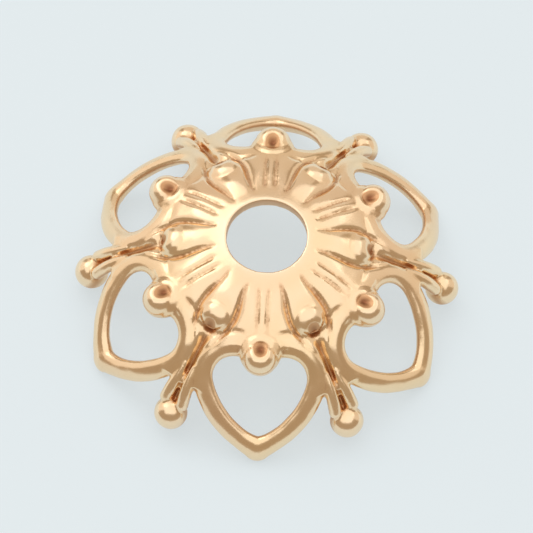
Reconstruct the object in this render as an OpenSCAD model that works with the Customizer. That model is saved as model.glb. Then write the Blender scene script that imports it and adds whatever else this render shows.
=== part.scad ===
// Flower bead cap: a pierced, domed blossom of cast brass, gilt all over.
// Six heart-shaped petals of flattened wire hang from a fluted dome, and twelve stamens
// radiate from the thread hole. The dome stands on its six petal tips.
// Origin: middle of the footprint, at the level of the petal tips. +Z is the axis of the hole.
// Lengths are in millimetres and angles in degrees, measured at the centre of the dome
// from the +Z axis (polar) and round it (azimuth). A petal points towards -Y.

/* [Dome] */
// Radius of the sphere on which the petal wires lie
dome_r = 5.36; // [5:0.01:6]
// Thickness of the fluted wall
wall_t = 0.32; // [0.32:0.01:0.44]
// Polar angle of the edge of the wall between the petals
wall_polar = 46.5; // [44:0.1:50]
// Diameter of the thread hole
hole_d = 2.06; // [1.2:0.01:2.6]
// Number of petals
petals = 6; // [4:1:6]

/* [Heart petals] */
// Width of the petal wire
wire_d = 0.54; // [0.4:0.01:0.7]
// How far the flattened wire stands out of the wall, inside and outside
wire_rise = 0.02; // [0.01:0.01:0.08]
// Polar angle of the middle of a lobe
lobe_polar = 40.5; // [38:0.1:44]
// Azimuth of the middle of a lobe, off the middle line of its petal
lobe_azimuth = 10.8; // [9:0.1:12]
// Radius of a lobe, to the middle of the wire
lobe_r = 0.83; // [0.6:0.01:1]
// Radius of the long side of a petal, to the middle of the wire
side_r = 2.57; // [2:0.01:3.2]
// Polar angle of the petal tip, to the middle of the wire
tip_polar = 61; // [57:0.1:64]
// Width of the rounded point of a petal
tip_d = 0.68; // [0.56:0.01:0.7]
// How much thicker than the wire the bead at each joint of the wire is
joint_extra = 0.012; // [0.01:0.001:0.1]

/* [Stamens] */
// Polar angle of the balls in the notches of the hearts
notch_polar = 34; // [33:0.1:39]
// Diameter of the balls in the notches
notch_ball_d = 0.92; // [0.6:0.01:1]
// Polar angle of the seeds between the hearts
seed_polar = 25.8; // [24:0.1:30]
// Width of the seeds between the hearts
seed_d = 0.76; // [0.6:0.01:1]
// Thickness of the seeds, which are flat balls
seed_t = 0.44; // [0.4:0.01:0.56]
// How far the middles of balls and seeds lie outside the wire's sphere
ball_lift = 0.13; // [0:0.01:0.2]
// Polar angle of the shoulders beside the balls in the notches
shoulder_polar = 32.6; // [32:0.1:34]
// Width of such a pair of shoulders
shoulder_d = 1.1; // [1:0.01:1.2]
// Thickness of the shoulders
shoulder_t = 0.54; // [0.4:0.01:0.6]
// Diameter of the stalks that run from the hole to balls and seeds
stalk_d = 0.4; // [0.3:0.01:0.4]
// How far the stalks stand out of the wall
stalk_lift = 0.1; // [0.05:0.01:0.15]
// Polar angle at which the stalks begin
stalk_polar = 14.5; // [12:0.1:18]
// Diameter of the dimples behind balls and seeds, on the inside
dimple_d = 0.56; // [0.3:0.01:0.6]

/* [Flutes] */
// Width of the groove that outlines each leaf between two hearts
groove_w = 0.13; // [0.08:0.01:0.2]
// Depth of that groove
groove_t = 0.1; // [0.05:0.01:0.16]
// Polar angle at which a leaf begins, near the hole
leaf_polar = 14; // [13:0.1:18]
// Polar angle at which a leaf ends, in the gap between two hearts
leaf_end = 39; // [36:0.1:42]
// Half of the width of a leaf near the hole
leaf_root = 0.3; // [0.2:0.01:0.4]
// Half of the width of a leaf at its seed
leaf_half = 0.55; // [0.5:0.01:0.7]
// Half of the width of a leaf where it ends
leaf_tip = 0.07; // [0.05:0.01:0.1]
// Diameter of the flutes behind the stalks, on the inside
flute_d = 0.24; // [0.15:0.01:0.3]
// Polar angle at which those flutes begin
flute_polar = 15.5; // [13:0.1:18]

/* [Rim buds] */
// Polar angle of the balls at the rim
bud_polar = 57.4; // [56:0.1:61]
// Diameter of the balls at the rim
bud_d = 0.88; // [0.7:0.01:1.1]
// Diameter of the stem that carries such a ball
stem_d = 0.36; // [0.3:0.01:0.4]
// How far the middle of the stem lies inside the wire's sphere
stem_sink = 0.08; // [0:0.01:0.1]
// Polar angle at which the stem leaves the wall
stem_polar = 42; // [40:0.1:45]
// Polar angle of the tips of the two sepals on each stem
sepal_polar = 50; // [46:0.1:53]
// Polar angle at which the sepals leave the stem
sepal_root = 41.5; // [40:0.1:45]
// Distance of a sepal's tip from the middle of the stem
sepal_side = 0.36; // [0.2:0.01:0.5]
// Diameter of a sepal
sepal_d = 0.42; // [0.3:0.01:0.5]

/* [Hidden] */
$fn = 96;

gilt = [0.93, 0.76, 0.52];
turn = 360 / petals;
first_petal = -90;
joint_d = wire_d + joint_extra;
wall_in = dome_r - wall_t / 2;
wall_out = dome_r + wall_t / 2;
wire_in = wall_in - wire_rise;
wire_out = wall_out + wire_rise;
lobe_angle = asin(lobe_r / dome_r);
side_angle = asin(side_r / dome_r);
joint_gap = 0.04;
side_steps = 8;
lobe_steps = 14;
leaf_steps = 14;
leaf_over = 1.01;
on_axis = 0.001;
sepal_sink = 0.05;
sepal_sphere = wall_out - sepal_sink;
sepal_azimuth = 0.5;
drop = min(dome_r * cos(tip_polar) - tip_d / 2, dome_r * cos(bud_polar) - bud_d / 2);
across = [0, 1, 0];
margin = 1;
far = dome_r + margin;
near = dome_r - margin;

// A direction from the centre of the dome
function toward(polar, azimuth) =
    [sin(polar) * cos(azimuth), sin(polar) * sin(azimuth), cos(polar)];
function unit(v) = v / norm(v);

// The direction at given angles from two others, on the side that their cross product points to
function from_two(a, angle_a, b, angle_b) =
    let (
        k = a * b,
        p = (cos(angle_a) - k * cos(angle_b)) / (1 - k * k),
        q = (cos(angle_b) - k * cos(angle_a)) / (1 - k * k),
        n = unit(cross(a, b)),
        h = sqrt(1 - p * p - q * q - 2 * p * q * k)
    ) p * a + q * b + h * n;

// Angle from one direction to another, turning about an axis
function sweep_about(axis, a, b) =
    atan2(axis * cross(a, b), a * b - (axis * a) * (axis * b));

// The direction at an angle from an axis, in the plane of the axis and another direction
function from_axis(axis, b, angle) =
    cos(angle) * axis + sin(angle) * unit(b - (axis * b) * axis);

// A direction turned about an axis
function turned(axis, start, angle) =
    let (x = start - (axis * start) * axis, y = cross(axis, x))
    (axis * start) * axis + cos(angle) * x + sin(angle) * y;

// One half of a heart petal, as directions: the wire runs from the tip along the side
// to the joint, and from there round the lobe to the notch, where it meets the other half
tip = toward(tip_polar, 0);
lobe = toward(lobe_polar, lobe_azimuth);
side = from_two(tip, side_angle, lobe, side_angle - lobe_angle);
joint = from_axis(side, lobe, side_angle);
side_sweep = sweep_about(side, tip, joint);
lobe_across = sin(lobe_polar) * cos(lobe_azimuth);
lobe_reach = norm([lobe_across, cos(lobe_polar)]);
meet_polar = atan2(lobe_across, cos(lobe_polar)) - acos(cos(lobe_angle) / lobe_reach);
lobe_sweep = sweep_about(lobe, joint, toward(meet_polar, 0));
heart_half = concat(
    [for (i = [0:side_steps]) turned(side, tip, side_sweep * i / side_steps)],
    [for (i = [1:lobe_steps]) turned(lobe, joint, lobe_sweep * i / lobe_steps)]
);

// A direction as a point of a flat outline, seen along the axis at a polar angle
function flat(d, polar) =
    let (w = sin(polar) * d.x + cos(polar) * d.z)
    dome_r * [cos(polar) * d.x - sin(polar) * d.z, d.y] / w;
function mirrored(points) =
    [for (i = [len(points) - 1:-1:0]) [points[i].x, -points[i].y]];
function both_halves(half) = concat(half, mirrored([for (p = half) if (p.y > on_axis) p]));

// Puts a shape with +Z along an axis and +X towards a direction
module aimed(axis, direction) {
    x = unit(direction - (axis * direction) * axis);
    y = cross(axis, x);
    multmatrix([
        [x.x, y.x, axis.x, 0],
        [x.y, y.y, axis.y, 0],
        [x.z, y.z, axis.z, 0],
        [0, 0, 0, 1]
    ]) children();
}

// A length of round wire bent along a circle on the sphere
module wire(axis, start, sweep, sphere_r, thickness) {
    opening = acos(axis * start);
    aimed(axis, start)
        translate([0, 0, sphere_r * cos(opening)])
            rotate_extrude(angle = sweep)
                translate([sphere_r * sin(opening), 0])
                    circle(d = thickness);
}

// A ball at a direction
module ball(direction, sphere_r, d) {
    translate(sphere_r * direction) sphere(d = d);
}

// A flat ball at a direction: what two large balls have in common
module flat_ball(direction, sphere_r, width, thickness) {
    r = (width * width + thickness * thickness) / (4 * thickness);
    shift = r - thickness / 2;
    intersection() {
        ball(direction, sphere_r + shift, 2 * r);
        ball(direction, sphere_r - shift, 2 * r);
    }
}

// A layer of the dome between two radii
module layer(inner, outer) {
    difference() {
        sphere(r = outer);
        sphere(r = inner);
    }
}

// Half of a heart petal, in round wire
module half_heart() {
    wire(side, tip, side_sweep - joint_gap, dome_r, wire_d);
    wire(lobe, turned(lobe, joint, joint_gap), lobe_sweep - joint_gap, dome_r, wire_d);
    ball(joint, dome_r, joint_d);
}

// The heart petals, with their wire flattened along the sphere
module heart_petals() {
    intersection() {
        for (i = [0:petals - 1])
            rotate([0, 0, first_petal + turn * i]) {
                half_heart();
                mirror([0, 1, 0]) half_heart();
                ball(tip, dome_r, tip_d);
            }
        layer(wire_in, wire_out);
    }
}

// Opening of a heart, cut along the middle of its wire
module heart_opening() {
    rotate([0, lobe_polar, 0])
        translate([0, 0, near])
            linear_extrude(height = far - near)
                polygon(both_halves([for (d = heart_half) flat(d, lobe_polar)]));
}

// Half of the width of the leaf between two hearts, at a polar angle
function rise(t) = pow(sin(90 * t), 2);
function leaf_width(polar) = polar < seed_polar
    ? leaf_root + (leaf_half - leaf_root) * rise((polar - leaf_polar) / (seed_polar - leaf_polar))
    : leaf_half + (leaf_tip - leaf_half) * rise((polar - seed_polar) / (leaf_end - seed_polar));

// Outline of the leaf, seen along the axis of its seed, longer and wider by given amounts
function leaf_points(longer, wider) =
    let (half = [for (i = [leaf_steps:-1:0])
        let (polar = leaf_polar + (leaf_end - leaf_polar) * i / leaf_steps)
        [longer * dome_r * tan(polar - seed_polar), leaf_width(polar) + wider]])
    concat(half, mirrored(half));

// Groove that outlines the leaf
module leaf_groove() {
    rotate([0, seed_polar, 0])
        translate([0, 0, near])
            linear_extrude(height = far - near)
                difference() {
                    polygon(leaf_points(1, groove_w / 2));
                    polygon(leaf_points(leaf_over, -groove_w / 2));
                }
}

// Fluted wall, with a groove round each leaf and a heart cut out of it for each petal
module wall() {
    difference() {
        intersection() {
            layer(wall_in, wall_out);
            cylinder(r1 = 0, r2 = far * tan(wall_polar), h = far);
        }
        for (i = [0:petals - 1])
            rotate([0, 0, first_petal + turn * i]) {
                heart_opening();
                intersection() {
                    rotate([0, 0, turn / 2]) leaf_groove();
                    layer(wall_out - groove_t, far);
                }
            }
    }
}

// The stalk of a stamen, along the outside of the wall
module stalk(polar) {
    wire(across, toward(stalk_polar, 0), polar - stalk_polar,
        wall_out + stalk_lift - stalk_d / 2, stalk_d);
}

// A stamen that ends in a notch: a stalk, a ball, and shoulders beside the ball
module notch_stamen() {
    stalk(notch_polar);
    ball(toward(notch_polar, 0), dome_r + ball_lift, notch_ball_d);
    flat_ball(toward(shoulder_polar, 0), dome_r + ball_lift, shoulder_d, shoulder_t);
}

// A stamen that ends in a seed between two hearts
module seed_stamen() {
    stalk(seed_polar);
    flat_ball(toward(seed_polar, 0), dome_r + ball_lift, seed_d, seed_t);
}

// The hollow behind a stamen, on the inside of the wall
module stamen_back(polar) {
    wire(across, toward(flute_polar, 0), polar - flute_polar, wall_in, flute_d);
    ball(toward(polar, 0), wall_in, dimple_d);
}

// A rim bud: a stem between two hearts, two sepals and a ball
module bud() {
    wire(across, toward(stem_polar, 0), bud_polar - stem_polar, dome_r - stem_sink, stem_d);
    ball(toward(bud_polar, 0), dome_r, bud_d);
    for (s = [-1, 1]) {
        root = toward(sepal_root, s * sepal_azimuth);
        end = toward(sepal_polar, s * asin(sepal_side / (dome_r * sin(sepal_polar))));
        wire(unit(cross(root, end)), root, acos(root * end), sepal_sphere, sepal_d);
        ball(end, sepal_sphere, sepal_d + 2 * joint_extra);
    }
}

module bead_cap() {
    color(gilt)
        translate([0, 0, -drop])
            difference() {
                union() {
                    wall();
                    heart_petals();
                    for (i = [0:petals - 1])
                        rotate([0, 0, first_petal + turn * i]) {
                            notch_stamen();
                            rotate([0, 0, turn / 2]) {
                                seed_stamen();
                                bud();
                            }
                        }
                }
                cylinder(d = hole_d, h = far);
                for (i = [0:petals - 1])
                    rotate([0, 0, first_petal + turn * i]) {
                        stamen_back(notch_polar);
                        rotate([0, 0, turn / 2]) stamen_back(seed_polar);
                    }
            }
}

bead_cap();
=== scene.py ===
# %% [markdown]
# # A flower bead cap in gilt brass
# A bead cap is a small pierced dome that covers the end of a round bead. This one is a
# blossom 10 mm across: a fluted crown round the thread hole, six heart-shaped petals of
# flattened wire, twelve stamens that end in balls and flat seeds, and a bud on the rim
# between each two petals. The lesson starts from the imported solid, which is the fixed
# frame: it gives the place and the size, and the visible metal is modelled round it and
# never leaves its box.

# %% The frame
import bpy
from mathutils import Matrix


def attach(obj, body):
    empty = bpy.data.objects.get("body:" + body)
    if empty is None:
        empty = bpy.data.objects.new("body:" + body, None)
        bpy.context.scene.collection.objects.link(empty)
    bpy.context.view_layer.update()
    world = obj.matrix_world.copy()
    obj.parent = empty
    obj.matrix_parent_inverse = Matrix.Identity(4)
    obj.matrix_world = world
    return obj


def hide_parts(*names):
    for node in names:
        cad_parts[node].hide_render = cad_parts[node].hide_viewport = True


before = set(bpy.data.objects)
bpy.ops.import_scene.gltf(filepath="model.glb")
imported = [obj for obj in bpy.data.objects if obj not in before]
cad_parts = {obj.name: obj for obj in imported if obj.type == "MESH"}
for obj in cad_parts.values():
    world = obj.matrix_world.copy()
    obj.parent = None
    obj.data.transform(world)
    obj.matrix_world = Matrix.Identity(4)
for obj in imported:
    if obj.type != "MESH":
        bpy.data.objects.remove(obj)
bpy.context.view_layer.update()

# %% [markdown]
# ## Tools
# Three kinds of sums serve here. Python's own functions work out single angles, Blender's
# vectors and matrices place and turn things, and numpy handles all points of a mesh at
# once. The metal itself is modelled with bmesh, which has the tools of edit mode.

# %% Tools
from math import acos, asin, atan2, cos, degrees, exp, pi, radians, sin, sqrt

import bmesh
import bpy
import numpy as np
from mathutils import Matrix, Vector, noise

# %% [markdown]
# ## Sizes
# The piece is modelled in millimetres round the centre of the dome, and set down on the
# floor in metres at the very end. Some of Blender's tools, such as the voxel remesh, stop
# at a tenth of a millimetre when the scene is in metres, and the detail here is finer.
# Angles are in degrees: polar is the angle from the axis of the hole, and azimuth is the
# angle round it. A value called flat is a thickness divided by its width, and one called
# sphere is a distance from the centre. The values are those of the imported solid.

# %% Sizes
centre = (0, 0, 0)
hole_axis = Vector((0, 0, 1))
dome_r = 5.36
wall_t = 0.32
wall_polar = 46.5
hole_r = 1.03
petals = 6
wire_d = 0.54
wire_flat = 0.65
lobe_polar = 40.5
lobe_azimuth = 10.8
lobe_r = 0.83
side_r = 2.57
tip_polar = 61
tip_d = 0.68
notch_polar = 34
notch_ball_d = 0.92
seed_polar = 25.8
seed_d = 0.76
ball_lift = 0.13
bud_polar = 57.4
bud_d = 0.88
turn = 360 / petals
first_petal = -90
wall_in = dome_r - wall_t / 2
wall_out = dome_r + wall_t / 2
drop = dome_r * cos(radians(tip_polar)) - tip_d / 2
print("centre of the dome below the floor, mm:", round(drop, 4))

# %% [markdown]
# ## Directions on the dome
# Every wire of the blossom lies on one sphere, so each bend is part of a circle on that
# sphere. A circle on a sphere is fixed by its axis, and a wire along it by the direction
# where it starts and the angle through which it turns. Half of a petal is two such arcs:
# a long flat one from the tip up the side, and a tight one round the lobe. They share a
# tangent where they meet, which holds when the joint lies in the plane of both axes.

# %% Directions on the dome
def toward(polar, azimuth=0.0):
    """The direction at two angles, from the centre of the dome."""
    p, a = radians(polar), radians(azimuth)
    return Vector((sin(p) * cos(a), sin(p) * sin(a), cos(p)))


def at_angles(a, from_a, b, from_b):
    """The direction at given angles from two others, on the side of their cross product."""
    k = a.dot(b)
    p = (cos(from_a) - k * cos(from_b)) / (1 - k * k)
    q = (cos(from_b) - k * cos(from_a)) / (1 - k * k)
    rest = sqrt(1 - p * p - q * q - 2 * p * q * k)
    return p * a + q * b + rest * a.cross(b).normalized()


def turned(axis, angle):
    """The matrix of a turn about an axis through the centre of the dome."""
    return Matrix.Rotation(radians(angle), 3, axis)


def angle_between(axis, a, b):
    """The turn about an axis that takes one direction over another."""
    return degrees(atan2(axis.dot(a.cross(b)), a.dot(b) - axis.dot(a) * axis.dot(b)))


tip = toward(tip_polar)
lobe = toward(lobe_polar, lobe_azimuth)
lobe_angle = asin(lobe_r / dome_r)
side_angle = asin(side_r / dome_r)
side = at_angles(tip, side_angle, lobe, side_angle - lobe_angle)
joint = cos(side_angle) * side + sin(side_angle) * (lobe - side.dot(lobe) * side).normalized()
side_sweep = angle_between(side, tip, joint)
reach = sqrt(lobe.x ** 2 + lobe.z ** 2)
notch = toward(degrees(atan2(lobe.x, lobe.z) - acos(cos(lobe_angle) / reach)))
lobe_sweep = angle_between(lobe, joint, notch)
print("side turns", round(side_sweep, 2), "and lobe turns", round(lobe_sweep, 2), "degrees")

# %% [markdown]
# ## Wire and balls
# A jeweller would bend the petals from drawn wire and solder balls to them. A curve with
# a round bevel would give wire in Blender too, but a ring of points that is extruded,
# turned about the arc's axis and resized at each step lets the wire swell and taper as
# cast wire does, and it stays one mesh with the rest. Wires and balls can be flattened
# along the radius of the dome, as if under a hammer.

# %% Wire and balls
wire_sides = 28
ball_sides = 40
ball_rings = 24


def points_of(made):
    """The points among the things that an operator made."""
    return [thing for thing in made if isinstance(thing, bmesh.types.BMVert)]


def hammer(metal, points, middle, outward, flat):
    """Flattens some points towards a middle, along the radius of the dome."""
    press = Matrix.Translation(middle) @ Matrix.Scale(flat, 4, outward) @ Matrix.Translation(-middle)
    bmesh.ops.transform(metal, matrix=press, verts=points)


def draw_wire(metal, axis, start, sweep, width, steps, sphere=dome_r, flat=1.0):
    """Bends wire along a circle on a sphere. width gives its width by share of length."""
    middle = start * sphere
    along = (axis.cross(start) * (1 if sweep > 0 else -1)).normalized()
    place = Matrix.Translation(middle) @ along.to_track_quat("Z", "Y").to_matrix().to_4x4()
    ring = bmesh.ops.create_circle(
        metal, segments=wire_sides, radius=width(0) / 2, matrix=place)["verts"]
    hammer(metal, ring, middle, start, flat)
    rim = list(dict.fromkeys(edge for point in ring for edge in point.link_edges))
    ends = list(rim)
    step = turned(axis, sweep / steps)
    for i in range(1, steps + 1):
        made = bmesh.ops.extrude_edge_only(metal, edges=rim)["geom"]
        ring = points_of(made)
        fresh = set(ring)
        edges = [thing for thing in made if isinstance(thing, bmesh.types.BMEdge)]
        rim = [edge for edge in edges if fresh.issuperset(edge.verts)]
        bmesh.ops.rotate(metal, cent=centre, matrix=step, verts=ring)
        middle = step @ middle
        grow = width(i / steps) / width((i - 1) / steps)
        bmesh.ops.scale(metal, vec=(grow,) * 3, space=Matrix.Translation(-middle), verts=ring)
    bmesh.ops.holes_fill(metal, edges=ends + rim, sides=0)


def draw_line(metal, a, b, width, steps, sphere, flat=1.0):
    """The shortest wire on a sphere from one direction to another."""
    draw_wire(metal, a.cross(b).normalized(), a, degrees(a.angle(b)), width, steps, sphere, flat)


def set_ball(metal, direction, d, sphere, flat=1.0):
    """A ball at a direction, flattened along the radius."""
    middle = direction * sphere
    ball = bmesh.ops.create_uvsphere(
        metal, u_segments=ball_sides, v_segments=ball_rings, radius=d / 2,
        matrix=Matrix.Translation(middle))["verts"]
    hammer(metal, ball, middle, direction, flat)


print("wire of", wire_sides, "sides, balls of", ball_sides, "by", ball_rings, "faces")

# %% [markdown]
# ## One petal
# Each petal is its own mirror image. Its second half is made by giving the same arcs a
# mirrored axis and the opposite turn, which keeps the rings clean where the halves meet.
# The wire swells to a drop at the tip, as it does on the real cap, where the metal ran
# together. The ball in the notch sits on a wider flat one, which shows as shoulders.

# %% One petal
petal_steps = 36
tip_swell = 0.11
tip_swell_length = 0.16
tip_width = 0.72
tip_flat = 0.62
shoulder_polar = 32.6
shoulder_d = 1.1
shoulder_lift = 0.1
shoulder_flat = 0.5


def other_half(direction):
    """The mirror image of a direction in the plane through the middle of a petal."""
    return Vector((direction.x, -direction.y, direction.z))


def side_width(share):
    """The wire of a petal's side is thickest at the tip."""
    return wire_d + tip_swell * exp(-((share / tip_swell_length) ** 2))


def lobe_width(share):
    """The wire of a lobe is even."""
    return wire_d


def model_petal(metal):
    """A heart of wire with a ball in its notch, shoulders beside it and a drop at its tip."""
    side_wire = (side_width, petal_steps, dome_r, wire_flat)
    lobe_wire = (lobe_width, petal_steps, dome_r, wire_flat)
    draw_wire(metal, side, tip, side_sweep, *side_wire)
    draw_wire(metal, lobe, joint, lobe_sweep, *lobe_wire)
    draw_wire(metal, other_half(side), tip, -side_sweep, *side_wire)
    draw_wire(metal, other_half(lobe), other_half(joint), -lobe_sweep, *lobe_wire)
    set_ball(metal, tip, tip_width, dome_r, tip_flat)
    set_ball(metal, toward(notch_polar), notch_ball_d, dome_r + ball_lift)
    set_ball(metal, toward(shoulder_polar), shoulder_d, dome_r + shoulder_lift, shoulder_flat)


ornament = bmesh.new()
model_petal(ornament)
print("petal:", len(ornament.faces), "faces")

# %% [markdown]
# ## One bud
# A bud on the rim is a stem that comes out of the wall, a round ball at its end, and a
# sepal along each side of it. The ball is a hair smaller than in the solid, so that the
# unevenness that comes later stays inside the solid's box. The flat seed of the stamen
# above the bud lies on the same middle line, so it is set in the same go.

# %% One bud
bud_steps = 20
bud_slack = 0.01
stem_d = 0.32
stem_root = 38
stem_sink = 0.09
stem_flat = 0.65
stem_start = 0.2
stem_growth = 0.5
sepal_root = toward(41.0, 1.9)
sepal_polar = 54.6
sepal_side = 0.25
sepal_lift = 0.10
sepal_d = 0.34
sepal_start = 0.3
sepal_growth = 0.7
sepal_rounds_from = 0.88
sepal_rounding = 0.13
seed_flat = 0.56


def beside(polar, distance):
    """The direction at a polar angle and at a distance in mm beside the middle line."""
    return toward(polar, degrees(asin(distance / (dome_r * sin(radians(polar))))))


def grown(share, start, length):
    """Share of the full width, from a start at the root to all of it at a share of length."""
    return start + (1 - start) * sin(min(share / length, 1) * pi / 2)


def stem_width(share):
    """A stem comes out of the wall as a point and is soon as thick as it gets."""
    return stem_d * grown(share, stem_start, stem_growth)


def sepal_width(share):
    """A sepal rises slowly from the wall, is full where it lies on the bud, and ends blunt."""
    rounding = max(share - sepal_rounds_from, 0) / sepal_rounding
    return sepal_d * grown(share, sepal_start, sepal_growth) * sqrt(1 - rounding ** 2)


def model_bud(metal):
    """A stem that ends in a round bud, a sepal along each side of it, and a stamen's seed."""
    bud = toward(bud_polar)
    sepal_end = beside(sepal_polar, sepal_side)
    draw_line(metal, toward(stem_root), bud, stem_width, bud_steps, dome_r - stem_sink, stem_flat)
    set_ball(metal, bud, bud_d - bud_slack, dome_r)
    for root, end in ((sepal_root, sepal_end), (other_half(sepal_root), other_half(sepal_end))):
        draw_line(metal, root, end, sepal_width, bud_steps, dome_r + sepal_lift)
    set_ball(metal, toward(seed_polar), seed_d, dome_r + ball_lift, seed_flat)


petal_points = set(ornament.verts)
model_bud(ornament)
bud_points = [point for point in ornament.verts if point not in petal_points]
print("bud and seed:", len(bud_points), "points")

# %% [markdown]
# ## Six of each
# The blossom repeats six times, so one petal and one bud are enough to model. The bud is
# turned by half a step, the two together until the petal points to the front, and then
# this sixth of the blossom is copied round the hole by a spin that leaves copies.

# %% Six of each
def turn_round(metal, angle, points):
    """Turns some points about the axis of the thread hole."""
    bmesh.ops.rotate(metal, cent=centre, matrix=turned(hole_axis, angle), verts=points)


def repeat_round(metal):
    """Copies a sixth of the blossom five times round the hole."""
    sixth = list(metal.verts) + list(metal.edges) + list(metal.faces)
    bmesh.ops.spin(
        metal, geom=sixth, cent=centre, axis=hole_axis,
        angle=radians(360 - turn), steps=petals - 1, use_duplicate=True)


turn_round(ornament, turn / 2, bud_points)
turn_round(ornament, first_petal, ornament.verts)
repeat_round(ornament)
bmesh.ops.recalc_face_normals(ornament, faces=ornament.faces)
print("petals and buds:", len(ornament.faces), "faces")

# %% [markdown]
# ## The relief of the crown
# On the real cap the crown is modelled like a chrysanthemum: between the hearts lie six
# leaves that end in flat seeds, and between the leaves run six broad tongues to the balls
# in the notches. Such relief could be painted as bump, but light would then run straight
# over the edges. Here it is a height over the sphere, worked out from the two angles, and
# the wall is given enough points to hold it. The first step is to know how far a point is
# from the middle lines and from the wires, and how wide a leaf is there.

# %% The relief of the crown
degree_mm = radians(1) * wall_out
leaf_polar = 14
leaf_end = 40
leaf_root = 0.3
leaf_half = 0.5
leaf_tip = 0.12


def blend(x, a, b):
    """Rises smoothly from 0 to 1 between two values."""
    t = np.clip((x - a) / (b - a), 0, 1)
    return t * t * (3 - 2 * t)


def mound(x, width):
    """A smooth hill, 1 at the middle."""
    return np.exp(-((x / width) ** 2))


def leaf_width(polar):
    """Half of the width of a leaf at a polar angle."""
    opening = leaf_root + (leaf_half - leaf_root) * blend(polar, leaf_polar, seed_polar)
    closing = leaf_half + (leaf_tip - leaf_half) * blend(polar, seed_polar, leaf_end)
    return np.where(polar < seed_polar, opening, closing)


def off_petal(azimuth):
    """Angle from the middle line of the nearest petal."""
    return np.abs((azimuth - first_petal + turn / 2) % turn - turn / 2)


def across(polar, azimuth):
    """Distances from the middle lines of the nearest petal and bud, and between the two."""
    ring = wall_out * np.sin(np.radians(polar))
    from_petal = ring * np.sin(np.radians(off_petal(azimuth)))
    from_bud = ring * np.sin(np.radians(turn / 2 - off_petal(azimuth)))
    return from_petal, from_bud, ring * np.sin(np.radians(turn / 2))


def from_lobe(polar, azimuth):
    """Distance from the middle of the wire of the nearest lobe, outside the heart."""
    a = np.radians(off_petal(azimuth))
    p = np.radians(polar)
    here = np.stack([np.sin(p) * np.cos(a), np.sin(p) * np.sin(a), np.cos(p)])
    return (np.arccos(np.clip(np.dot(np.array(lobe), here), -1, 1)) - lobe_angle) * wall_out


print("one degree on the outer face is", round(degree_mm, 4), "mm")

# %% [markdown]
# ## Leaves, tongues and grooves
# The outer face is built up and cut in again. Leaves and tongues are long round backs.
# Fine grooves outline the leaves in an S, twin grooves run down each tongue, and a shallow
# one follows the wires of the hearts. Beyond each seed the metal is dug away, and from
# there a furrow runs down the seam between two hearts. Each form has a height or depth in
# millimetres, and the polar angles between which it rises and falls.

# %% Leaves, tongues and grooves
leaf_height = 0.09
leaf_rise = (13.5, 20)
leaf_fall = (26, 29)
tongue_height = 0.08
tongue_rise = (13.5, 22)
narrowest_tongue = 0.25
outline_depth = 0.05
outline_more = 0.04
outline_deepens = (17, 24)
outline_width = 0.055
outline_rise = (13, 16)
outline_fall = (36, 41)
twin_depth = 0.06
twin_place = 0.13
twin_width = 0.05
twin_rise = (14, 17)
twin_fall = (24, 28)
wire_groove_depth = 0.04
wire_groove_place = 0.1
wire_groove_width = 0.07
wire_groove_rise = (0.3, 0.6)
dig_polar = 30.0
dig_depth = 0.2
dig_width = 0.15
dig_stretch = 1.4
furrow_depth = 0.17
furrow_width = 0.11
furrow_rise = (30, 33)
furrow_fall = (43, 46)
deepest = -0.2


def backs(polar, from_petal, from_bud, gap, leaf):
    """Height of the round backs of leaves and tongues."""
    tongue = np.maximum(gap - leaf, narrowest_tongue)
    over_leaf = np.clip(1 - (from_bud / leaf) ** 2, 0, 1)
    over_tongue = np.clip(1 - (from_petal / tongue) ** 2, 0, 1)
    height = leaf_height * over_leaf * blend(polar, *leaf_rise) * (1 - blend(polar, *leaf_fall))
    return height + tongue_height * over_tongue * blend(polar, *tongue_rise)


def grooves(polar, from_petal, from_bud, from_wire, leaf):
    """Depth of the outlines, of the twin grooves and of those along the wires."""
    outline = outline_depth + outline_more * blend(polar, *outline_deepens)
    outline = outline * mound(from_bud - leaf, outline_width)
    outline = outline * blend(polar, *outline_rise) * (1 - blend(polar, *outline_fall))
    twin = twin_depth * mound(from_petal - twin_place, twin_width)
    twin = twin * blend(polar, *twin_rise) * (1 - blend(polar, *twin_fall))
    along_wire = wire_groove_depth * mound(from_wire - wire_groove_place, wire_groove_width)
    return outline + twin + along_wire * blend(from_petal, *wire_groove_rise)


def dug_out(polar, from_bud):
    """Depth of the hollow beyond a seed and of the furrow that runs on from it."""
    away = np.hypot((polar - dig_polar) * degree_mm, from_bud / dig_stretch)
    furrow = furrow_depth * mound(from_bud, furrow_width)
    furrow = furrow * blend(polar, *furrow_rise) * (1 - blend(polar, *furrow_fall))
    return dig_depth * mound(away, dig_width) + furrow


def outer_relief(polar, azimuth):
    """Height of the outer face over its sphere, in mm."""
    from_petal, from_bud, gap = across(polar, azimuth)
    from_wire = from_lobe(polar, azimuth) - wire_d / 2
    leaf = leaf_width(polar)
    height = backs(polar, from_petal, from_bud, gap, leaf)
    height -= grooves(polar, from_petal, from_bud, from_wire, leaf)
    height -= dug_out(polar, from_bud)
    return np.maximum(height, deepest)


round_the_seeds = outer_relief(np.full(361, seed_polar), np.arange(361.0))
print("at the seeds the relief runs from", round(round_the_seeds.min(), 3), "mm up to",
      round(round_the_seeds.max(), 3), "mm")

# %% [markdown]
# ## The inner face
# The inside of a thin casting follows its outside, so that the metal stays about as thick
# all over: there are flutes behind the stalks of the stamens and dents behind the balls
# and seeds. They are kept shallow, because little of them is seen.

# %% The inner face
flute_height = 0.09
flute_rise = (14, 19)
petal_flute_width = 0.13
petal_flute_fall = (33, 36)
bud_flute_width = 0.12
bud_flute_fall = (24, 27)
dent_width = 0.24
seed_dent = 0.16
ball_dent = 0.14
ball_dent_shift = 1


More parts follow.
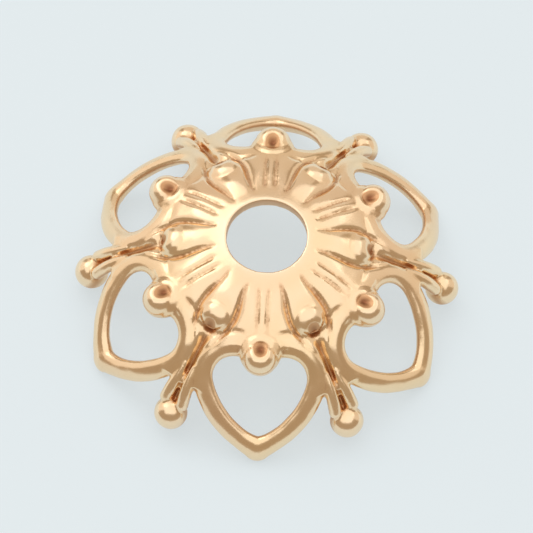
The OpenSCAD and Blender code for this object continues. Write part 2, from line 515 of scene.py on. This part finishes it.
def inner_relief(polar, azimuth):
    """Height of the inner face over its sphere, in mm."""
    from_petal, from_bud, gap = across(polar, azimuth)
    to_ball = np.hypot((polar - notch_polar + ball_dent_shift) * degree_mm, from_petal)
    to_seed = np.hypot((polar - seed_polar) * degree_mm, from_bud)
    flutes = mound(from_petal, petal_flute_width) * (1 - blend(polar, *petal_flute_fall))
    flutes += mound(from_bud, bud_flute_width) * (1 - blend(polar, *bud_flute_fall))
    dents = seed_dent * mound(to_seed, dent_width) + ball_dent * mound(to_ball, dent_width)
    return flute_height * flutes * blend(polar, *flute_rise) + dents


under_the_seeds = inner_relief(np.full(361, seed_polar), np.arange(361.0))
print("the inner face gives way by up to", round(under_the_seeds.max(), 3), "mm at the seeds")

# %% [markdown]
# ## The wall
# A caster's model of the crown would be turned and then chased. The wall is made the same
# way: an arc of points for each face is spun about the Y axis, the two arcs are joined
# into a closed outline, and a full turn about the Z axis makes the solid. Then each point
# of the outer and of the inner face is moved along its radius by the relief.

# %% The wall
wall_rows = 130
sector_steps = 120
edge_cuts = 6
touching = 1e-4


def spin_arc(wall, radius):
    """An arc of points from the hole to the edge, on a sphere, and its two end points."""
    start = asin(hole_r / radius)
    first = wall.verts.new((hole_r, 0, radius * cos(start)))
    made = bmesh.ops.spin(
        wall, geom=[first], cent=centre, axis=(0, 1, 0),
        angle=radians(wall_polar) - start, steps=wall_rows)
    return first, points_of(made["geom_last"])[0]


def model_wall():
    """The crown as a closed solid of revolution."""
    wall = bmesh.new()
    outer = spin_arc(wall, wall_out)
    inner = spin_arc(wall, wall_in)
    ends = [wall.edges.new((outer[i], inner[i])) for i in (0, 1)]
    bmesh.ops.subdivide_edges(wall, edges=ends, cuts=edge_cuts)
    outline = list(wall.verts) + list(wall.edges)
    bmesh.ops.spin(
        wall, geom=outline, cent=centre, axis=hole_axis, angle=radians(turn), steps=sector_steps)
    repeat_round(wall)
    bmesh.ops.remove_doubles(wall, verts=wall.verts, dist=touching)
    bmesh.ops.recalc_face_normals(wall, faces=wall.faces)
    return wall


def to_object(metal, name):
    """Turns a bmesh into an object in the scene."""
    mesh = bpy.data.meshes.new(name)
    metal.to_mesh(mesh)
    metal.free()
    made = bpy.data.objects.new(name, mesh)
    bpy.context.scene.collection.objects.link(made)
    return made


wall = to_object(model_wall(), "wall")
print("wall:", len(wall.data.vertices), "points")

# %% [markdown]
# ## Chasing the wall
# Numpy reads all points of the wall at once, works out the relief at each, and moves the
# points of the two faces along their radius. The edges of the wall stay where they are.

# %% Chasing the wall
on_face = 1e-3


def polar_angles(points):
    """Distance from the centre, polar angle and azimuth of each point."""
    far = np.linalg.norm(points, axis=1)
    polar = np.degrees(np.arccos(points[:, 2] / far))
    azimuth = np.degrees(np.arctan2(points[:, 1], points[:, 0]))
    return far, polar, azimuth


def read_points(mesh):
    """A mesh's points as an array of rows."""
    flat = np.empty(len(mesh.vertices) * 3, np.float32)
    mesh.vertices.foreach_get("co", flat)
    return flat.reshape(-1, 3).astype(float)


def write_points(mesh, points):
    """Puts the rows back as the mesh's points."""
    mesh.vertices.foreach_set("co", points.astype(np.float32).ravel())
    mesh.update()


def chase(mesh):
    """Moves the points of the two faces of the wall along their radius by the relief."""
    points = read_points(mesh)
    far, polar, azimuth = polar_angles(points)
    lift = np.where(np.abs(far - wall_out) < on_face, outer_relief(polar, azimuth), 0)
    lift += np.where(np.abs(far - wall_in) < on_face, inner_relief(polar, azimuth), 0)
    write_points(mesh, points * ((far + lift) / far)[:, None])
    print("relief from", round(lift.min(), 3), "to", round(lift.max(), 3), "mm")


chase(wall.data)

# %% [markdown]
# ## Piercing the petals
# The wall is sawn out inside each heart, along the middle of its wire. The saw line is
# the same pair of arcs, spun from a single point and mirrored, and it is extruded away
# from the centre of the dome into a wedge. A Boolean takes six of these from the wall.

# %% Piercing the petals
saw_near = dome_r - 1
saw_far = dome_r + 1
saw_steps = 20
saw_gap = 0.01


def saw_wedge():
    """Six heart-shaped wedges that reach through the wall."""
    saw = bmesh.new()
    point = saw.verts.new(tip * saw_near)
    for axis, sweep in ((side, side_sweep), (lobe, lobe_sweep)):
        made = bmesh.ops.spin(
            saw, geom=[point], cent=centre, axis=axis, angle=radians(sweep), steps=saw_steps)
        point = points_of(made["geom_last"])[0]
    half = list(saw.verts) + list(saw.edges)
    bmesh.ops.mirror(saw, geom=half, matrix=Matrix.Identity(4), merge_dist=saw_gap, axis="Y")
    bmesh.ops.remove_doubles(saw, verts=saw.verts, dist=saw_gap)
    made = bmesh.ops.extrude_edge_only(saw, edges=list(saw.edges))["geom"]
    bmesh.ops.scale(saw, vec=(saw_far / saw_near,) * 3, verts=points_of(made))
    bmesh.ops.holes_fill(saw, edges=saw.edges, sides=0)
    turn_round(saw, first_petal, saw.verts)
    repeat_round(saw)
    bmesh.ops.triangulate(saw, faces=saw.faces)
    bmesh.ops.recalc_face_normals(saw, faces=saw.faces)
    return saw


def settled(thing):
    """The mesh that a modified object shows, as a mesh of its own."""
    shown = thing.evaluated_get(bpy.context.evaluated_depsgraph_get())
    return bpy.data.meshes.new_from_object(shown)


saw = to_object(saw_wedge(), "saw")
pierce = wall.modifiers.new("pierce", "BOOLEAN")
pierce.object = saw
pierce.operation = "DIFFERENCE"
pierce.solver = "MANIFOLD"
pierced = settled(wall)
print("pierced wall:", len(pierced.polygons), "faces")

# %% [markdown]
# ## Casting it in one
# Wall, wires and balls only lie through each other so far. The real cap is one casting,
# so they are fused: a voxel remesh keeps nothing but the common outer skin, and a few
# rounds of smoothing give every inside corner the small soft fillet that molten metal
# and tumbling leave. The voxels are fine enough for the sepals and the grooves, which
# makes more faces than a shared part should have. Decimate then thins them where the skin
# is nearly flat, and leaves them dense in the creases.

# %% Casting it in one
grain = 0.037
tumble_strength = 0.5
tumble_rounds = 4
kept_share = 0.54
fused = bmesh.new()
fused.from_mesh(pierced)
ornament_mesh = bpy.data.meshes.new("ornament")
ornament.to_mesh(ornament_mesh)
ornament.free()
fused.from_mesh(ornament_mesh)
cap = to_object(fused, "gilt_bead_cap")
for leftover in (wall, saw):
    bpy.data.objects.remove(leftover)
melt = cap.modifiers.new("melt", "REMESH")
melt.mode = "VOXEL"
melt.voxel_size = grain
tumble = cap.modifiers.new("tumble", "SMOOTH")
tumble.factor = tumble_strength
tumble.iterations = tumble_rounds
thin = cap.modifiers.new("thin", "DECIMATE")
thin.ratio = kept_share
cast = settled(cap)
cap.modifiers.clear()
cap.data = cast
print("casting:", len(cast.vertices), "points,", len(cast.polygons), "faces")

# %% [markdown]
# ## Punched pits
# A chaser goes over the casting with a small round punch. It leaves a pit on each ball in
# a notch, on the side of the thread hole, and one beyond each seed, where the metal is dug
# away. The punch only meets the outer face, so it moves the points that look outward,
# along the radius of the dome.

# %% Punched pits
outer_skin = (0.1, 0.5)
punches = (
    {"polar": 31.4, "between": False, "deep": 0.18, "wide": 0.15},
    {"polar": 28.8, "between": True, "deep": 0.12, "wide": 0.16},
)


def read_normals(mesh):
    """A mesh's point normals as an array of rows."""
    flat = np.empty(len(mesh.vertices) * 3, np.float32)
    mesh.vertex_normals.foreach_get("vector", flat)
    return flat.reshape(-1, 3).astype(float)


def look_outward(points, normals):
    """1 where the skin looks away from the centre of the dome, -1 where it looks to it."""
    return np.einsum("ij,ij->i", points, normals) / np.linalg.norm(points, axis=1)


skin = read_points(cast)
far, polar, azimuth = polar_angles(skin)
from_petal, from_bud, gap = across(polar, azimuth)
outward = blend(look_outward(skin, read_normals(cast)), *outer_skin)
pits = np.zeros(len(skin))
for punch in punches:
    aside = from_bud if punch["between"] else from_petal
    away = np.hypot((polar - punch["polar"]) * degree_mm, aside)
    pits += punch["deep"] * mound(away, punch["wide"]) * outward
write_points(cast, skin * ((far - pits) / far)[:, None])
print("pits up to", round(pits.max(), 3), "mm deep")

# %% [markdown]
# ## Hand of the maker
# No two petals of a cast cap are quite alike. Two soft noises, together less than two
# hundredths of a millimetre high, move the skin along its normals. That is too little to
# see as a shape, and enough to make the reflections wander as they do on real gilt metal.

# %% Hand of the maker
broad_waves = 0.9
broad_height = 0.015
small_waves = 0.32
small_height = 0.007
elsewhere = 40


def wander(points, length):
    """Noise between about -1 and 1 with waves of a given length."""
    return np.array([noise.noise(Vector(p) / length) for p in points])


skin = read_points(cast)
sway = broad_height * wander(skin, broad_waves)
sway += small_height * wander(skin + elsewhere, small_waves)
write_points(cast, skin + read_normals(cast) * sway[:, None])
print("skin moved by", round(np.abs(sway).max(), 4), "mm at most")

# %% [markdown]
# ## Hollows, crests and inward faces
# The finish paints the hollows darker and redder, partly as tarnish and partly as painted
# shade, and the crests brighter, partly as polish and partly as a painted highlight. To know
# which is which, each point is compared with the mean of its neighbourhood: it lies below
# it in a hollow and above it on a crest. The inside of the dome, the sides of the wires and
# the sawn edges get painted shade: there the skin does not look away from the centre of
# the dome. Both measures are kept on the mesh as attributes, where the finish can read
# them.

# %% Hollows, crests and inward faces
near_rounds = 14
soften_rounds = 3
sunk_unit = 0.02
pit_unit = 0.04
inward_to_outward = (-0.5, 0.5)


def spread(values, pairs, count, rounds):
    """Averages values over neighbouring points, a number of times."""
    total = np.bincount(pairs.ravel(), minlength=count)[:, None]
    for _ in range(rounds):
        gathered = np.empty_like(values)
        for k in range(values.shape[1]):
            there = np.bincount(pairs[:, 0], weights=values[pairs[:, 1], k], minlength=count)
            back = np.bincount(pairs[:, 1], weights=values[pairs[:, 0], k], minlength=count)
            gathered[:, k] = there + back
        values = 0.5 * values + 0.5 * gathered / total
    return values


def keep_measure(mesh, name, values):
    """Keeps a number for each point of a mesh as an attribute."""
    measure = mesh.attributes.new(name, "FLOAT", "POINT")
    measure.data.foreach_set("value", values.astype(np.float32))


pairs = np.empty(len(cast.edges) * 2, np.int32)
cast.edges.foreach_get("vertices", pairs)
pairs = pairs.reshape(-1, 2)
skin = read_points(cast)
count = len(skin)
around = spread(skin, pairs, count, near_rounds)
sunk = np.einsum("ij,ij->i", around - skin, read_normals(cast))
sunk = spread(sunk[:, None], pairs, count, soften_rounds)[:, 0]
keep_measure(cast, "hollow", sunk / sunk_unit + pits / pit_unit)
crest, hollow = np.round(np.percentile(sunk, [1, 99]), 4)
print("skin lies from", -crest, "mm above its surroundings to", hollow, "mm below them")

facing = look_outward(skin, read_normals(cast))
keep_measure(cast, "inside", 1 - blend(facing, *inward_to_outward))
print("share of points that look inward:", round(float((facing < 0).mean()), 2))

# %% [markdown]
# ## Setting it down
# The finished metal is shrunk to metres and lowered until the petal tips stand on the
# floor. The move is written into the mesh, and the object stays at the origin, unturned
# and unscaled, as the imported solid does. It rides on the root body and stands for the
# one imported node.

# %% Setting it down
millimetre = 0.001
cast.transform(Matrix.Scale(millimetre, 4) @ Matrix.Translation((0, 0, -drop)))
cast.shade_smooth()
cap.name = cast.name = "gilt_bead_cap"
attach(cap, "root")
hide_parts("bead_cap")
print("triangles:", sum(len(face.vertices) - 2 for face in cast.polygons))

# %% [markdown]
# ## Writing a finish
# A material is a sum of small decisions, and they read best as sums. The first class
# wraps the output of a node, so that arithmetic on it adds the Math nodes. Every other
# node comes from one method of the second, which takes its type, its settings and its
# inputs.

# %% Writing a finish
class Value:
    """The output of a node; arithmetic on it adds Math nodes."""

    def __init__(self, finish, socket):
        self.finish = finish
        self.socket = socket

    def math(self, operation, *values, held=False):
        """A Math node on these values; a held one stays between 0 and 1."""
        settings = {"operation": operation, "use_clamp": held}
        return self.finish.node("ShaderNodeMath", settings, dict(enumerate(values)))

    def __add__(self, other):
        return self.math("ADD", self, other)

    def __sub__(self, other):
        return self.math("SUBTRACT", self, other)

    def __rsub__(self, other):
        return self.math("SUBTRACT", other, self)

    def __mul__(self, other):
        return self.math("MULTIPLY", self, other)

    __radd__ = __add__
    __rmul__ = __mul__

    def held(self):
        """The value kept between 0 and 1."""
        return self.math("ADD", self, 0.0, held=True)


class Finish:
    """A material that is built node by node."""

    def __init__(self, name):
        self.material = bpy.data.materials.new(name)
        self.material.use_nodes = True
        self.tree = self.material.node_tree
        self.tree.nodes.clear()

    def node(self, kind, settings=None, inputs=None, output=0):
        """Adds a node, makes its settings, fills its inputs, and returns one of its outputs."""
        made = self.tree.nodes.new(kind)
        for key, value in (settings or {}).items():
            setattr(made, key, value)
        for key, value in (inputs or {}).items():
            if isinstance(value, Value):
                self.tree.links.new(value.socket, made.inputs[key])
            else:
                made.inputs[key].default_value = value
        if made.outputs:
            return Value(self, made.outputs[output])
        return None

    def mix(self, share, a, b):
        """A colour between two others."""
        return self.node(
            "ShaderNodeMix", {"data_type": "RGBA"}, {0: share, 6: a, 7: b}, output=2)

    def measured(self, name):
        """A measure that is kept on the mesh as an attribute."""
        settings = {"attribute_name": name, "attribute_type": "GEOMETRY"}
        return self.node("ShaderNodeAttribute", settings, output="Fac")

    def millimetres(self):
        """Places on the piece itself, in millimetres."""
        place = self.node("ShaderNodeTexCoord", output="Object")
        inputs = {"Vector": place, "Scale": 1 / millimetre}
        return self.node("ShaderNodeVectorMath", {"operation": "SCALE"}, inputs)

    def clouds(self, place, size, detail, roughness=0.5):
        """Soft noise, about 0.5 on average, with features of a given size in millimetres."""
        inputs = {"Vector": place, "Scale": 1 / size, "Detail": detail, "Roughness": roughness}
        return self.node("ShaderNodeTexNoise", {}, inputs)

    def cover(self, piece, shader):
        """Connects the shader to the surface, and gives the finish to a piece."""
        self.node("ShaderNodeOutputMaterial", {}, {"Surface": shader})
        piece.data.materials.clear()
        piece.data.materials.append(self.material)
        print(self.material.name, "has", len(self.tree.nodes), "nodes")


# %% [markdown]
# ## Masks of tarnish, painted shade and painted highlight
# The finish is pale rose gold over brass, tumbled to a soft shine. Before it gets colours,
# it needs masks. The first is painted shade with some tarnish: it darkens the hollows, the
# sides of the wires and the inside, in blotches. The second is a painted highlight on the
# crests, partly the polish that rubs them bright. The third is a darker painted shade in
# the deepest hollows and the pits. All of them read the measures on the mesh or the
# piece's own coordinates.

# %% Masks of tarnish, painted shade and painted highlight
mottle_size = 0.5
painted_shade_on_sides = 0.75
painted_shade_inside = 0.25
tarnish_blotches = 0.4
shade_mask_lowered_by = 0.14
gilt = Finish("gilt")
place = gilt.millimetres()
hollows = gilt.measured("hollow")
looks_inward = gilt.measured("inside")
mottle = gilt.clouds(place, mottle_size, 4.0, 0.6)
sides = looks_inward * (1 - looks_inward) * 4
# Painted shade, with some tarnish: darker in the hollows, on the sides of the wires and on the
# inside, in blotches.
tarnish_and_painted_shade = (hollows * 1.2).held() + looks_inward * painted_shade_inside + sides * painted_shade_on_sides
tarnish_and_painted_shade = (tarnish_and_painted_shade + (mottle - 0.5) * tarnish_blotches - shade_mask_lowered_by).held()
# Painted highlight on the crests, partly the polish that rubs them bright.
polish_and_painted_highlight = (hollows * -0.8 - 0.1).held()
# Painted deep shade in the deepest hollows and the pits.
painted_deep_shade = (hollows * 0.3 - 0.5).held()
print("masks of the gilt:", len(gilt.tree.nodes), "nodes")

# %% [markdown]
# ## Colour and shine of the gilt
# The plate drifts a little between pink and yellow where it is thinner or thicker. It is
# brightest on the crests, where polish and a painted highlight meet. Painted shade and
# tarnish make it redder, darker and duller, and a painted deep shade makes the deepest
# hollows and the pits dark brown. Fine scratches and a faint orange peel break the
# reflections: a Mapping node draws the noise of the scratches out into lines, and a Bump
# node turns both noises into relief of a few thousandths of a millimetre.

# %% Colour and shine of the gilt
pink = (0.94, 0.69, 0.46, 1)
yellow = (0.95, 0.73, 0.45, 1)
# bright is the colour of the painted highlight, red_brown that of the painted shade and tarnish,
# dark_brown that of the painted deep shade.
bright = (0.99, 0.83, 0.62, 1)
red_brown = (0.50, 0.22, 0.08, 1)
dark_brown = (0.20, 0.06, 0.025, 1)
drift_size = 2.4
scratch_size = 0.12
scratch_stretch = (1.0, 9.0, 3.0)
scratch_turn = (0.3, 0.2, 0.6)
peel_size = 0.16
texture_height = 0.004 * millimetre
drift = gilt.clouds(place, drift_size, 2.0)
plate = gilt.mix((drift * 1.6 - 0.3).held(), pink, yellow)
plate = gilt.mix(polish_and_painted_highlight * 0.7, plate, bright)
colour = gilt.mix(tarnish_and_painted_shade * 0.85, plate, red_brown)
colour = gilt.mix(painted_deep_shade * 0.8, colour, dark_brown)
roughness = 0.15 + mottle * 0.10 + tarnish_and_painted_shade * 0.2 + looks_inward * 0.12
drawn_out = gilt.node(
    "ShaderNodeMapping", {},
    {"Vector": place, "Scale": scratch_stretch, "Rotation": scratch_turn})
scratches = gilt.clouds(drawn_out, scratch_size, 3.0, 0.7)
peel = gilt.clouds(place, peel_size, 2.0)
texture = gilt.node(
    "ShaderNodeBump", {},
    {"Strength": 0.35, "Distance": texture_height, "Height": peel * 0.8 + scratches * 0.5})
shine = gilt.node(
    "ShaderNodeBsdfPrincipled", {},
    {"Base Color": colour, "Metallic": 1.0, "Roughness": roughness, "Normal": texture})
gilt.cover(cap, shine)

# %% [markdown]
# ## The floor
# The cap was photographed on a smooth pale sheet, cool and a little glossy. The ground
# is nearly as bright under the dome as beside it, so the sheet lets light through from
# below, as the acrylic top of a light table does. It is one large face, far wider than
# the view, and the tips of the petals stand on it. More than half of its brightness is
# its own, and the rest is the light that falls on it.

# %% The floor
floor_half = 0.35
floor_squares = 4
cloud_size = 30.0
sheet_dark = (0.255, 0.285, 0.30, 1)
sheet_light = (0.265, 0.295, 0.31, 1)
glow_dark = (0.49, 0.545, 0.575, 1)
glow_light = (0.50, 0.555, 0.585, 1)
sheet = bmesh.new()
bmesh.ops.create_grid(sheet, x_segments=floor_squares, y_segments=floor_squares, size=floor_half)
floor = to_object(sheet, "floor")
acrylic = Finish("pale_acrylic")
cloud = acrylic.clouds(acrylic.millimetres(), cloud_size, 2.0)
surface = acrylic.node(
    "ShaderNodeBsdfPrincipled", {},
    {"Base Color": acrylic.mix(cloud, sheet_dark, sheet_light),
     "Roughness": 0.38 + cloud * 0.06, "Specular IOR Level": 0.4,
     "Emission Color": acrylic.mix(cloud, glow_dark, glow_light), "Emission Strength": 1.0})
acrylic.cover(floor, surface)

# %% [markdown]
# ## Light
# The light of the photograph is that of a light tent: pale cloth above and around, a key
# lamp behind a cloth at the upper left, and a darker side in front, where the camera
# stands. Polished metal shows nothing but its surroundings, so the tent is what gives it
# colour. It is built as large dim area lights, with a small bright one for the lamp, and
# the rest of the room is dim and warm. The brightness of each is given as the brightness
# of its cloth, and its power follows from its size.

# %% Light
key_place = (-0.20, 0.22, 0.34)
white = (1.0, 1.0, 1.0)
cool = (0.94, 1.0, 1.05)
warm = (1.0, 0.785, 0.57, 1)
room_strength = 0.44


def cloth(name, place, size, brightness, tint=white):
    """A square lit cloth that faces the cap."""
    lamp = bpy.data.lights.new(name, "AREA")
    lamp.size = size
    lamp.energy = brightness * pi * size * size
    lamp.color = tint
    panel = bpy.data.objects.new(name, lamp)
    panel.location = place
    panel.rotation_euler = (-Vector(place)).to_track_quat("-Z", "Y").to_euler()
    bpy.context.scene.collection.objects.link(panel)
    print(name, "of", size, "m,", round(lamp.energy, 3), "W")


cloth("tent top", (0.0, 0.04, 0.46), size=0.90, brightness=0.72, tint=cool)
cloth("tent left", (-0.46, 0.20, 0.20), size=0.50, brightness=0.50)
cloth("tent right", (0.46, 0.20, 0.20), size=0.50, brightness=0.36)
cloth("tent back", (0.0, 0.55, 0.14), size=0.50, brightness=0.30)
cloth("key", key_place, size=0.30, brightness=0.42)
cloth("lamp in the key", key_place, size=0.07, brightness=2.6)
room = bpy.data.worlds.new("dim room")
room.use_nodes = True
bpy.context.scene.world = room
background = room.node_tree.nodes["Background"]
background.inputs["Color"].default_value = warm
background.inputs["Strength"].default_value = room_strength

# %% [markdown]
# ## Camera
# The photograph was taken from well above, at about 64 degrees, through a long lens, so
# that the cap shows almost without perspective. Its front petal points a little to the
# left. The view is closer than the photograph's, so that the cap fills most of it.

# %% Camera
elevation = radians(63.5)
bearing = radians(3)
distance = 0.25
frame_width = 0.0137
aim = Vector((0, -0.0001, 0.0016))
lens = bpy.data.cameras.new("camera")
lens.sensor_width = 36
lens.lens = lens.sensor_width * distance / frame_width
lens.clip_start = 0.01
lens.clip_end = 3
camera = bpy.data.objects.new("camera", lens)
back = Vector((sin(bearing) * cos(elevation), -cos(bearing) * cos(elevation), sin(elevation)))
camera.location = aim + distance * back
camera.rotation_euler = (aim - camera.location).to_track_quat("-Z", "Y").to_euler()
bpy.context.scene.collection.objects.link(camera)
bpy.context.scene.camera = camera
bpy.context.scene.view_settings.view_transform = "Standard"
print("lens:", round(lens.lens), "mm")
